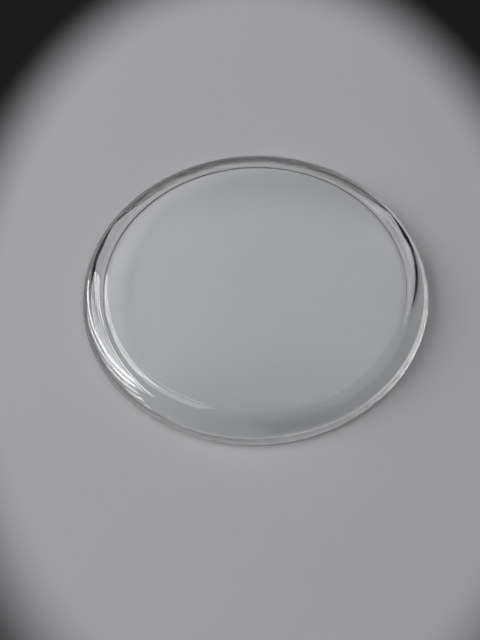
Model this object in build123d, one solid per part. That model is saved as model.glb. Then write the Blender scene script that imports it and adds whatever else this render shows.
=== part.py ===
"""Domed acrylic watch crystal: one clear moulding with a snap-in rim, turned about its own axis.

Frame: millimetres, +Z up the axis of the dome, origin at the middle of the flat ring
that the crystal stands on. The shape is one section in the XZ plane, turned round Z.
"""
from build123d import *
from math import atan2, cos, degrees, radians, sin, sqrt
import os

# Grip band: the short upright face at the foot, the widest part, that the bezel snaps over
outer_diameter = 35.0
grip_height = 0.30

# Outside of the dome: a nearly flat crown that rolls over a tight shoulder to the grip band
crown_radius = 150.0
shoulder_radius = 2.60
shoulder_slope = 80.0  # degrees below level where the shoulder would meet the grip band
rim_edge_radius = 0.40

# Flat ring that the crystal stands on
base_ring_width = 1.10
base_edge_radius = 0.06

# Inside: a leaning inner wall, its rounded corner and the roof of the hollow
inner_wall_lean = 45.0  # degrees from upright, so the hollow widens towards its mouth
inner_corner_radius = 1.20
hollow_radius = 150.0
crown_thickness = 1.10

outer_radius = outer_diameter / 2
mouth_radius = outer_radius - base_ring_width
top_of_arc = 90.0  # degrees up from level


def direction(angle):
    """Unit direction in the section, its angle in degrees up from level."""
    return Vector(cos(radians(angle)), sin(radians(angle)))


def section_arc(centre, radius, start_angle, end_angle):
    """Arc of the section between two angles in degrees."""
    return CenterArc(centre, radius, start_angle, end_angle - start_angle)


def angle_of(offset):
    """Angle of an offset in the section, in degrees up from level."""
    return degrees(atan2(offset.Y, offset.X))


def outside():
    """Crown, shoulder and rim edge, each tangent to the next, then the upright grip band."""
    shoulder_end = top_of_arc - shoulder_slope
    shoulder_centre = Vector(outer_radius, grip_height) - direction(shoulder_end) * shoulder_radius

    crown_drop = sqrt((crown_radius - shoulder_radius) ** 2 - shoulder_centre.X**2)
    crown_centre = Vector(0, shoulder_centre.Y - crown_drop)
    crown_end = angle_of(shoulder_centre - crown_centre)

    edge_run = outer_radius - rim_edge_radius - shoulder_centre.X
    edge_rise = sqrt((shoulder_radius - rim_edge_radius) ** 2 - edge_run**2)
    edge_centre = shoulder_centre + Vector(edge_run, edge_rise)
    edge_start = angle_of(edge_centre - shoulder_centre)

    crown_top = crown_centre.Y + crown_radius
    return crown_top, [
        section_arc(crown_centre, crown_radius, top_of_arc, crown_end),
        section_arc(shoulder_centre, shoulder_radius, crown_end, edge_start),
        section_arc(edge_centre, rim_edge_radius, edge_start, 0),
        Line((outer_radius, edge_centre.Y), (outer_radius, base_edge_radius)),
    ]


def inside(crown_top):
    """Leaning inner wall, rounded corner and roof of the hollow, from the mouth up to the axis."""
    wall_up = direction(top_of_arc + inner_wall_lean)
    into_wall = direction(inner_wall_lean)
    mouth = Vector(mouth_radius, 0)
    roof_centre = Vector(0, crown_top - crown_thickness - hollow_radius)

    # The corner's centre lies one corner radius off the wall line and inside the roof's arc
    start = mouth - into_wall * inner_corner_radius - roof_centre
    along = start.dot(wall_up)
    reach = hollow_radius - inner_corner_radius
    climb = sqrt(along**2 - start.dot(start) + reach**2) - along
    corner_centre = roof_centre + start + wall_up * climb
    corner_end = angle_of(corner_centre - roof_centre)
    wall_top = corner_centre + into_wall * inner_corner_radius

    # Rounding between the standing ring and the leaning wall
    edge_climb = base_edge_radius * (1 - into_wall.Y) / wall_up.Y
    edge_centre = mouth + into_wall * base_edge_radius + wall_up * edge_climb
    wall_foot = edge_centre - into_wall * base_edge_radius
    return edge_centre, [
        section_arc(edge_centre, base_edge_radius, -top_of_arc, inner_wall_lean - 2 * top_of_arc),
        Line(wall_foot, wall_top),
        section_arc(corner_centre, inner_corner_radius, inner_wall_lean, corner_end),
        section_arc(roof_centre, hollow_radius, corner_end, top_of_arc),
        Line((0, roof_centre.Y + hollow_radius), (0, crown_top)),
    ]


def crystal():
    """The whole crystal, its section turned once round the axis."""
    crown_top, outer_edges = outside()
    inner_edge_centre, inner_edges = inside(crown_top)
    outer_edge_centre = Vector(outer_radius - base_edge_radius, base_edge_radius)
    base_edges = [
        section_arc(outer_edge_centre, base_edge_radius, 0, -top_of_arc),
        Line((outer_edge_centre.X, 0), (inner_edge_centre.X, 0)),
    ]
    section = Plane.XZ * make_face(outer_edges + base_edges + inner_edges)
    return revolve(section, Axis.Z)


os.makedirs("parts", exist_ok=True)
export_step(crystal(), "parts/crystal.step")
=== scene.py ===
"""Domed acrylic watch crystal: the lathe-turned piece, its finishes, and a plain studio round it.

Laid out as an add-on and run as a script. Everything is in metres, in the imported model's
frame: the crystal stands on z = 0 with its axis on the z axis.
"""

from math import atan2, cos, pi, radians, sin, sqrt

import bpy
from bpy.props import FloatProperty, FloatVectorProperty, IntProperty, PointerProperty
from mathutils import Matrix, Vector


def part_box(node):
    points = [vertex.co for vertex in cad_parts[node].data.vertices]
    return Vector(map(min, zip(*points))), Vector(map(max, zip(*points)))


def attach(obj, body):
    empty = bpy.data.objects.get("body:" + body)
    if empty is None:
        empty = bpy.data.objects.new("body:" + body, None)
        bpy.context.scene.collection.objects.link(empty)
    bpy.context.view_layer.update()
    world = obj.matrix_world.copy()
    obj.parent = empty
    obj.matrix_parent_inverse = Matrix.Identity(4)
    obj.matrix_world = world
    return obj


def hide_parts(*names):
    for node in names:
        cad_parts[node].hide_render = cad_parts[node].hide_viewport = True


bl_info = {
    "name": "Watch Crystal",
    "version": (1, 0, 0),
    "blender": (4, 5, 0),
    "location": "3D View > Sidebar > Watch Crystal",
    "description": "Builds a domed acrylic watch crystal and a plain studio round it",
    "category": "Add Mesh",
}

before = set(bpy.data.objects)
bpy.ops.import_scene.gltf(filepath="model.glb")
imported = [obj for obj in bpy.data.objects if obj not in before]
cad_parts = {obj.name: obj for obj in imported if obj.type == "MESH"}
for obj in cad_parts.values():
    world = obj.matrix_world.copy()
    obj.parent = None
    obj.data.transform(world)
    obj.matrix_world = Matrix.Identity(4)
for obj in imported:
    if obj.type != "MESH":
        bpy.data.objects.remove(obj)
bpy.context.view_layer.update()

NODE = "crystal"
MM = 0.001
LOWEST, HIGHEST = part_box(NODE)
OUTER_RADIUS = HIGHEST.x
CROWN_TOP = HIGHEST.z
CROWN_TOLERANCE = 0.02 * MM
SAME_POINT = 1e-9

# How many steps each arc and straight run of the section is drawn in
CROWN_STEPS, SHOULDER_STEPS, CORNER_STEPS = 22, 24, 14
RIM_STEPS, GRIP_STEPS, FOOT_STEPS = 6, 4, 4
RING_STEPS, WALL_STEPS = 3, 6

# Finishes, by their place in the mesh's list of materials
POLISHED, TURNED = 0, 1
SATIN_TOP = 0.07 * MM  # the satin covers the standing ring and its two broken edges
ACRYLIC_IOR = 1.491
WAVE_PERIOD = pi / 10  # a Wave texture of scale 1 repeats after this length

# Room: which way the broad light lies, and its radiance; the lamps stand this far off
PANEL_AZIMUTH = radians(45)
PANEL_LEVEL = 1.1
LAMP_DISTANCE = 0.6
FLOOR_HALF_SIZE = 3.0
FLOOR_GAP = 0.01 * MM  # keeps the floor clear of the standing ring
PAINTED_FADE_START = 0.76  # share of the way out to the painted pool's edge where painted shade starts to darken the floor's colour
LIGHT_BOUNCES = 32  # the near rim goes black if light stops sooner inside the acrylic

# Window: bars of light one above the other at the left and one light over them. Azimuths and
# elevations are in degrees, widths and heights in metres, and powers in watts.
BAR_AZIMUTH, BAR_ELEVATIONS = 167, (16, 23.5, 31, 38.5, 46)
BAR_WIDTH, BAR_HEIGHT, BAR_POWER = 0.62, 0.045, 0.84
TOP_AZIMUTH, TOP_ELEVATION = 153, 70
TOP_WIDTH, TOP_HEIGHT, TOP_POWER = 0.2, 0.18, 0.34

# Camera: the picture's size, its scale, and where the axis of the crystal falls in it, in pixels
PICTURE_WIDTH, PICTURE_HEIGHT = 480, 640
PIXELS_PER_MM = 9.895
AXIS_ACROSS, AXIS_DOWN = 254.68, 287.04
SENSOR_HEIGHT = 24.0
TARGET_HEIGHT = 1.0 * MM


# Colours and nodes


def linear(hex_colour):
    """An sRGB hex colour such as "8C8C90" as linear red, green and blue."""
    channels = [int(hex_colour[i : i + 2], 16) / 255 for i in (0, 2, 4)]
    return tuple(c / 12.92 if c <= 0.04045 else ((c + 0.055) / 1.055) ** 2.4 for c in channels)


def add(tree, kind, settings=None, **inputs):
    """Adds a node, sets its settings, and gives each named input a value or a link."""
    node = tree.nodes.new(kind)
    for name, value in (settings or {}).items():
        setattr(node, name, value)
    for name, value in inputs.items():
        key = int(name[1:]) if name[0] == "_" else name.replace("_", " ")
        if isinstance(value, bpy.types.NodeSocket):
            tree.links.new(value, node.inputs[key])
        else:
            node.inputs[key].default_value = value
    return node


def fresh_tree(owner):
    """The owner's node tree, emptied."""
    owner.use_nodes = True
    owner.node_tree.nodes.clear()
    return owner.node_tree


def grey_ramp(tree, factor, *stops):
    """The colour output of a ramp through (place, grey) stops."""
    node = add(tree, "ShaderNodeValToRGB", Fac=factor)
    elements = node.color_ramp.elements
    while len(elements) < len(stops):
        elements.new(1.0)
    for element, (place, grey) in zip(elements, stops):
        element.position = place
        element.color = (grey, grey, grey, 1.0)
    return node.outputs["Color"]


# What a user may change


class CrystalSizes(bpy.types.PropertyGroup):
    """Sizes of the crystal's section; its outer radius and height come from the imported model."""

    grip_height: FloatProperty(
        name="Grip band height",
        description="From the standing ring up to where the shoulder would meet the outer radius",
        default=0.30 * MM,
        unit="LENGTH",
    )
    crown_radius: FloatProperty(
        name="Crown radius",
        description="Radius of the nearly flat top",
        default=150.0 * MM,
        unit="LENGTH",
    )
    shoulder_radius: FloatProperty(
        name="Shoulder radius",
        description="Radius of the tighter curve that runs down to the rim",
        default=2.60 * MM,
        unit="LENGTH",
    )
    shoulder_slope: FloatProperty(
        name="Shoulder slope",
        description="How far below level the shoulder runs where it would meet the grip band",
        default=radians(80.0),
        subtype="ANGLE",
    )
    rim_edge_radius: FloatProperty(
        name="Rim edge radius",
        description="Rounding between the shoulder and the grip band",
        default=0.40 * MM,
        unit="LENGTH",
    )
    base_ring_width: FloatProperty(
        name="Standing ring width",
        description="Width of the flat ring that the crystal stands on",
        default=1.10 * MM,
        unit="LENGTH",
    )
    base_edge_radius: FloatProperty(
        name="Base edge radius",
        description="Rounding of both edges of the standing ring",
        default=0.06 * MM,
        unit="LENGTH",
    )
    inner_wall_lean: FloatProperty(
        name="Inner wall lean",
        description="Lean of the inner wall from upright, so the hollow widens towards its mouth",
        default=radians(45.0),
        subtype="ANGLE",
    )
    inner_corner_radius: FloatProperty(
        name="Inner corner radius",
        description="Rounding between the leaning wall and the roof of the hollow",
        default=1.20 * MM,
        unit="LENGTH",
    )
    hollow_radius: FloatProperty(
        name="Hollow radius",
        description="Radius of the roof of the hollow",
        default=150.0 * MM,
        unit="LENGTH",
    )
    crown_thickness: FloatProperty(
        name="Crown thickness",
        description="Thickness of the acrylic at the middle of the crown",
        default=1.10 * MM,
        unit="LENGTH",
    )
    segments: IntProperty(
        name="Segments",
        description="Steps round the axis; refraction shows facets if there are too few",
        default=512,
        min=64,
    )


class StudioSettings(bpy.types.PropertyGroup):
    """Floor, light and camera."""

    floor_colour: FloatVectorProperty(
        name="Floor colour",
        description="Plain pale grey of the floor",
        size=3,
        subtype="COLOR",
        default=linear("A2A2A4"),
    )
    # Painted light: these two sizes set where the floor's colour is painted down to dark, not where
    # the lamps stop reaching
    painted_pool_width: FloatProperty(
        name="Painted pool of light, half width",
        description="Where the floor has fallen off to dark on the left and right",
        default=34.0 * MM,
        unit="LENGTH",
    )
    painted_pool_length: FloatProperty(
        name="Painted pool of light, half length",
        description="Where the floor has fallen off to dark in front and behind",
        default=54.0 * MM,
        unit="LENGTH",
    )
    view_distance: FloatProperty(
        name="Camera distance",
        description="From the camera to the middle of the crystal",
        default=130.0 * MM,
        unit="LENGTH",
    )
    view_elevation: FloatProperty(
        name="Camera elevation",
        description="How far above level the camera looks from",
        default=radians(55.0),
        subtype="ANGLE",
    )
    view_roll: FloatProperty(
        name="Camera roll",
        description="Turn of the camera about its own axis",
        default=radians(-2.0),
        subtype="ANGLE",
    )


# The section


def direction(angle):
    """Unit direction in the section, its angle up from level."""
    return Vector((cos(angle), sin(angle)))


def angle_of(offset):
    """Angle of an offset in the section, up from level."""
    return atan2(offset.y, offset.x)


def arc(centre, radius, start, end, steps, side=1):
    """Points of an arc with the direction that the acrylic's surface faces there."""
    turns = [start + (end - start) * i / steps for i in range(steps + 1)]
    return [(centre + direction(t) * radius, direction(t) * side) for t in turns]


def line(start, end, facing, steps):
    """Points of a straight run with the direction that it faces."""
    return [(start.lerp(end, i / steps), facing) for i in range(steps + 1)]


def section(size):
    """The crystal's section from the top of the crown, down the outside, and up the inside."""
    top = pi / 2
    rim = Vector((OUTER_RADIUS, size.grip_height))
    shoulder_end = top - size.shoulder_slope
    shoulder = rim - direction(shoulder_end) * size.shoulder_radius
    crown_drop = sqrt((size.crown_radius - size.shoulder_radius) ** 2 - shoulder.x**2)
    crown = Vector((0, shoulder.y - crown_drop))
    crown_end = angle_of(shoulder - crown)
    edge_run = OUTER_RADIUS - size.rim_edge_radius - shoulder.x
    edge_rise = sqrt((size.shoulder_radius - size.rim_edge_radius) ** 2 - edge_run**2)
    edge = shoulder + Vector((edge_run, edge_rise))
    edge_start = angle_of(edge - shoulder)

    low = size.base_edge_radius
    outer_foot = Vector((OUTER_RADIUS - low, low))
    outside = (
        arc(crown, size.crown_radius, top, crown_end, CROWN_STEPS)
        + arc(shoulder, size.shoulder_radius, crown_end, edge_start, SHOULDER_STEPS)
        + arc(edge, size.rim_edge_radius, edge_start, 0, RIM_STEPS)
        + line(
            Vector((OUTER_RADIUS, edge.y)),
            Vector((OUTER_RADIUS, low)),
            direction(0),
            GRIP_STEPS,
        )
        + arc(outer_foot, low, 0, -top, FOOT_STEPS)
    )

    wall_up = direction(top + size.inner_wall_lean)
    into_wall = direction(size.inner_wall_lean)
    mouth = Vector((OUTER_RADIUS - size.base_ring_width, 0))
    roof = Vector((0, crown.y + size.crown_radius - size.crown_thickness - size.hollow_radius))
    start = mouth - into_wall * size.inner_corner_radius - roof
    along = start.dot(wall_up)
    reach = size.hollow_radius - size.inner_corner_radius
    corner = roof + start + wall_up * (sqrt(along**2 - start.dot(start) + reach**2) - along)
    corner_end = angle_of(corner - roof)
    inner_foot = mouth + into_wall * low + wall_up * (low * (1 - into_wall.y) / wall_up.y)
    foot_end = size.inner_wall_lean - pi
    inside = (
        line(
            Vector((outer_foot.x, 0)),
            Vector((inner_foot.x, 0)),
            direction(-top),
            RING_STEPS,
        )
        + arc(inner_foot, low, -top, foot_end, FOOT_STEPS)
        + line(
            inner_foot - into_wall * low,
            corner + into_wall * size.inner_corner_radius,
            -into_wall,
            WALL_STEPS,
        )
        + arc(
            corner,
            size.inner_corner_radius,
            size.inner_wall_lean,
            corner_end,
            CORNER_STEPS,
            -1,
        )
        + arc(roof, size.hollow_radius, corner_end, top, CROWN_STEPS, -1)
    )
    points = []
    for point, facing in outside + inside:
        if not points or (point - points[-1][0]).length > SAME_POINT:
            points.append((point, facing))
    return points


def lathe(name, points, segments):
    """Turns a section whose first and last points lie on the axis into a closed mesh."""
    ring_points = points[1:-1]
    turns = [2 * pi * j / segments for j in range(segments)]
    corners, facings = [], []
    for point, facing in ring_points:
        for turn in turns:
            corners.append((point.x * cos(turn), point.x * sin(turn), point.y))
            facings.append((facing.x * cos(turn), facing.x * sin(turn), facing.y))
    for point, facing in (points[0], points[-1]):
        corners.append((0, 0, point.y))
        facings.append((0, 0, facing.y))

    crown_tip, roof_tip = len(corners) - 2, len(corners) - 1
    faces, finishes = [], []
    for j in range(segments):
        k = (j + 1) % segments
        faces.append((crown_tip, j, k))
        finishes.append(POLISHED)
        for i in range(len(ring_points) - 1):
            here, below = i * segments, (i + 1) * segments
            faces.append((here + j, below + j, below + k, here + k))
            on_foot = max(ring_points[i][0].y, ring_points[i + 1][0].y) < SATIN_TOP
            finishes.append(TURNED if on_foot else POLISHED)
        last = (len(ring_points) - 1) * segments
        faces.append((last + j, roof_tip, last + k))
        finishes.append(POLISHED)

    mesh = bpy.data.meshes.new(name)
    mesh.from_pydata(corners, [], faces)
    mesh.shade_smooth()
    mesh.polygons.foreach_set("material_index", finishes)
    mesh.normals_split_custom_set_from_vertices(facings)
    return mesh


# Finishes


def clear_acrylic(name):
    """Cast acrylic, turned and then polished: water-clear.

    The polishing wheel leaves a haze that comes and goes over a few millimetres, and a cloth leaves
    hairlines. Real hairlines are under 0.01 mm wide; these are 0.04 to 0.09 mm, and still too faint
    to show in the main view.
    """
    material = bpy.data.materials.new(name)
    tree = fresh_tree(material)
    place = add(tree, "ShaderNodeTexCoord").outputs["Object"]
    patches = add(tree, "ShaderNodeTexNoise", Vector=place, Scale=1 / (2.5 * MM), Detail=3.0)
    rough = add(
        tree,
        "ShaderNodeMapRange",
        Value=patches.outputs["Fac"],
        From_Min=0.3,
        From_Max=0.7,
        To_Min=0.0,
        To_Max=0.02,
    ).outputs["Result"]
    breaks = add(tree, "ShaderNodeTexNoise", Vector=place, Scale=1 / (3.5 * MM), Detail=1.0)
    shown = add(
        tree,
        "ShaderNodeMapRange",
        Value=breaks.outputs["Fac"],
        From_Min=0.58,
        From_Max=0.66,
    ).outputs["Result"]
    for turn, spacing in ((0.7, 3.1 * MM), (2.2, 4.3 * MM)):
        turned = add(tree, "ShaderNodeMapping", Vector=place, Rotation=(0.0, 0.0, turn))
        bands = add(
            tree,
            "ShaderNodeTexWave",
            Vector=turned.outputs["Vector"],
            Scale=WAVE_PERIOD / spacing,
            Distortion=2.5,
            Detail=1.0,
            Detail_Scale=0.5,
        )
        line = add(
            tree,
            "ShaderNodeMapRange",
            Value=bands.outputs["Fac"],
            From_Min=0.9990,
            From_Max=0.9996,
            To_Min=0.0,
            To_Max=0.25,
        ).outputs["Result"]
        broken = add(tree, "ShaderNodeMath", {"operation": "MULTIPLY"}, _0=line, _1=shown)
        rough = add(tree, "ShaderNodeMath", _0=rough, _1=broken.outputs["Value"]).outputs["Value"]
    surface = add(
        tree,
        "ShaderNodeBsdfPrincipled",
        Base_Color=(*linear("FBFCFC"), 1.0),
        Roughness=rough,
        IOR=ACRYLIC_IOR,
        Transmission_Weight=1.0,
    )
    add(tree, "ShaderNodeOutputMaterial", Surface=surface.outputs["BSDF"])
    return material


def turned_acrylic(name):
    """The foot as the lathe left it: a fine satin that blurs what is behind it.

    The tool marks are 0.1 mm apart, and the satin varies from place to place as the ring rubs.
    """
    material = bpy.data.materials.new(name)
    tree = fresh_tree(material)
    place = add(tree, "ShaderNodeTexCoord").outputs["Object"]
    marks = add(
        tree,
        "ShaderNodeTexWave",
        {"wave_type": "RINGS", "rings_direction": "Z"},
        Vector=place,
        Scale=WAVE_PERIOD / (0.1 * MM),
    )
    rubbed = add(tree, "ShaderNodeTexNoise", Vector=place, Scale=1 / (1.5 * MM), Detail=2.0)
    both = add(
        tree,
        "ShaderNodeMath",
        _0=marks.outputs["Fac"],
        _1=rubbed.outputs["Fac"],
    ).outputs["Value"]
    rough = add(
        tree,
        "ShaderNodeMapRange",
        Value=both,
        From_Min=0.3,
        From_Max=1.7,
        To_Min=0.22,
        To_Max=0.36,
    ).outputs["Result"]
    surface = add(
        tree,
        "ShaderNodeBsdfPrincipled",
        Base_Color=(*linear("F4F5F5"), 1.0),
        Roughness=rough,
        IOR=ACRYLIC_IOR,
        Transmission_Weight=1.0,
    )
    add(tree, "ShaderNodeOutputMaterial", Surface=surface.outputs["BSDF"])
    return material


class CRYSTAL_OT_crystal(bpy.types.Operator):
    """Turn the crystal's section round its axis and finish it in clear acrylic."""

    bl_idname = "watch_crystal.crystal"
    bl_label = "Crystal"
    bl_options = {"REGISTER", "UNDO"}

    def execute(self, context):
        size = context.scene.crystal_sizes
        points = section(size)
        if abs(points[0][0].y - CROWN_TOP) > CROWN_TOLERANCE:
            raise RuntimeError(f"crown top at {points[0][0].y}, but the packed one at {CROWN_TOP}")
        piece = bpy.data.objects.new("domed_crystal", lathe("domed_crystal", points, size.segments))
        context.scene.collection.objects.link(piece)
        piece.data.materials.append(clear_acrylic("polished cast acrylic"))
        piece.data.materials.append(turned_acrylic("fine-turned acrylic"))
        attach(piece, "root")
        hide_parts(NODE)
        return {"FINISHED"}


# Studio


def soft_box(name, azimuth, elevation, width, height, power):
    """A rectangular soft box that faces the crystal, its azimuth and elevation in degrees."""
    azimuth, elevation = radians(azimuth), radians(elevation)
    light = bpy.data.lights.new(name, "AREA")
    light.shape = "RECTANGLE"
    light.size, light.size_y = width, height
    light.energy = power
    lamp = bpy.data.objects.new(name, light)
    level = cos(elevation) * LAMP_DISTANCE
    lamp.location = (level * cos(azimuth), level * sin(azimuth), sin(elevation) * LAMP_DISTANCE)
    lamp.rotation_euler = (-lamp.location).to_track_quat("-Z", "Y").to_euler()
    lamp.visible_camera = False
    bpy.context.scene.collection.objects.link(lamp)


def surroundings():
    """The room: a soft broad light high behind and to the right, and darker walls elsewhere.

    The dark walls matter as much as the light: clear acrylic shows its corners and its outline only
    where they mirror something dark.
    """
    world = bpy.data.worlds.new("soft studio")
    bpy.context.scene.world = world
    tree = fresh_tree(world)
    look = add(tree, "ShaderNodeTexCoord").outputs["Generated"]
    height = add(tree, "ShaderNodeSeparateXYZ", Vector=look).outputs["Z"]
    walls = grey_ramp(tree, height, (0.0, 0.006), (0.35, 0.03), (0.7, 0.12), (1.0, 0.35))
    panel = grey_ramp(tree, height, (0.60, 0.006), (0.73, 1.0), (0.89, 1.0), (0.98, 0.35))
    behind = add(
        tree,
        "ShaderNodeVectorMath",
        {"operation": "DOT_PRODUCT"},
        _0=look,
        _1=(*direction(PANEL_AZIMUTH), 0.0),
    ).outputs["Value"]
    side = add(
        tree,
        "ShaderNodeMapRange",
        {"interpolation_type": "SMOOTHSTEP"},
        Value=behind,
        From_Min=-0.1,
        From_Max=0.25,
    ).outputs["Result"]
    mix = add(tree, "ShaderNodeMix", {"data_type": "RGBA"}, _0=side, _6=walls, _7=panel)
    background = add(tree, "ShaderNodeBackground", Color=mix.outputs[2], Strength=PANEL_LEVEL)
    add(tree, "ShaderNodeOutputWorld", Surface=background.outputs["Background"])


def card_with_painted_falloff(name, studio):
    """Matt grey card under the crystal with a pool of light painted into its colour: past the pool
    the floor's colour is painted down to dark, in place of light falling off.
    """
    material = bpy.data.materials.new(name)
    tree = fresh_tree(material)
    place = add(tree, "ShaderNodeTexCoord").outputs["Object"]
    shape = (1 / studio.painted_pool_width, 1 / studio.painted_pool_length, 0.0)
    scaled = add(tree, "ShaderNodeVectorMath", {"operation": "MULTIPLY"}, _0=place, _1=shape)
    reach = add(tree, "ShaderNodeVectorMath", {"operation": "LENGTH"}, _0=scaled.outputs["Vector"])
    painted_falloff = add(
        tree,
        "ShaderNodeMapRange",
        {"interpolation_type": "SMOOTHSTEP"},
        Value=reach.outputs["Value"],
        From_Min=PAINTED_FADE_START,
        From_Max=1.0,
    ).outputs["Result"]
    # Painted shade: outside the pool the floor's colour is mixed from pale to near black, standing
    # in for light falling off
    pale, dark = (*studio.floor_colour, 1.0), (*linear("1C1C1D"), 1.0)
    mix = add(tree, "ShaderNodeMix", {"data_type": "RGBA"}, _0=painted_falloff, _6=pale, _7=dark)
    card = add(tree, "ShaderNodeBsdfDiffuse", Color=mix.outputs[2])
    add(tree, "ShaderNodeOutputMaterial", Surface=card.outputs["BSDF"])
    return material


class CRYSTAL_OT_studio(bpy.types.Operator):
    """Lay the pale floor with its painted falloff to dark, and set the soft light and the camera.
    """

    bl_idname = "watch_crystal.studio"
    bl_label = "Studio"
    bl_options = {"REGISTER", "UNDO"}

    def execute(self, context):
        scene = context.scene
        studio = scene.crystal_studio
        half = FLOOR_HALF_SIZE
        mesh = bpy.data.meshes.new("floor")
        mesh.from_pydata(
            [(-half, -half, 0), (half, -half, 0), (half, half, 0), (-half, half, 0)],
            [],
            [(0, 1, 2, 3)],
        )
        floor = bpy.data.objects.new("floor", mesh)
        floor.location.z = -FLOOR_GAP
        scene.collection.objects.link(floor)
        mesh.materials.append(card_with_painted_falloff("matt grey card with painted falloff", studio))

        surroundings()
        for elevation in BAR_ELEVATIONS:
            soft_box("window bar", BAR_AZIMUTH, elevation, BAR_WIDTH, BAR_HEIGHT, BAR_POWER)
        soft_box("window top", TOP_AZIMUTH, TOP_ELEVATION, TOP_WIDTH, TOP_HEIGHT, TOP_POWER)

        camera = bpy.data.cameras.new("camera")
        camera.sensor_fit = "VERTICAL"
        camera.sensor_height = SENSOR_HEIGHT
        camera.lens = SENSOR_HEIGHT * studio.view_distance / (PICTURE_HEIGHT / PIXELS_PER_MM * MM)
        camera.clip_start = 1 * MM
        camera.clip_end = 20.0
        eye = bpy.data.objects.new("camera", camera)
        scene.collection.objects.link(eye)
        target = Vector((0, 0, TARGET_HEIGHT))
        back, up = direction(studio.view_elevation) * studio.view_distance
        eye.location = target + Vector((0, -back, up))
        look = (target - eye.location).to_track_quat("-Z", "Y").to_matrix().to_4x4()
        pixel_angle = MM / PIXELS_PER_MM / studio.view_distance
        off_x = (PICTURE_WIDTH / 2 - AXIS_ACROSS) * pixel_angle
        off_y = (PICTURE_HEIGHT / 2 - AXIS_DOWN) * pixel_angle
        aim = Matrix.Rotation(-off_x, 4, "Y") @ Matrix.Rotation(-off_y, 4, "X")
        roll = Matrix.Rotation(studio.view_roll, 4, "Z")
        eye.rotation_euler = (look @ roll @ aim).to_euler()
        scene.camera = eye

        scene.view_settings.view_transform = "Standard"
        scene.cycles.blur_glossy = 0.0
        scene.cycles.max_bounces = LIGHT_BOUNCES
        scene.cycles.glossy_bounces = LIGHT_BOUNCES
        scene.cycles.transmission_bounces = LIGHT_BOUNCES
        return {"FINISHED"}


class CRYSTAL_PT_panel(bpy.types.Panel):
    """Lists the sizes and the steps."""

    bl_label = "Watch Crystal"
    bl_idname = "CRYSTAL_PT_panel"
    bl_space_type = "VIEW_3D"
    bl_region_type = "UI"
    bl_category = "Watch Crystal"

    def draw(self, context):
        for group in (context.scene.crystal_sizes, context.scene.crystal_studio):
            for name in group.__annotations__:
                self.layout.prop(group, name)
        for operator in STEPS:
            self.layout.operator(operator.bl_idname)


STEPS = (CRYSTAL_OT_crystal, CRYSTAL_OT_studio)
CLASSES = (CrystalSizes, StudioSettings, *STEPS, CRYSTAL_PT_panel)


def register():
    for cls in CLASSES:
        bpy.utils.register_class(cls)
    bpy.types.Scene.crystal_sizes = PointerProperty(type=CrystalSizes)
    bpy.types.Scene.crystal_studio = PointerProperty(type=StudioSettings)


def unregister():
    del bpy.types.Scene.crystal_studio
    del bpy.types.Scene.crystal_sizes
    for cls in reversed(CLASSES):
        bpy.utils.unregister_class(cls)


def main():
    register()
    bpy.ops.watch_crystal.crystal()
    bpy.ops.watch_crystal.studio()


if __name__ == "__main__":
    main()
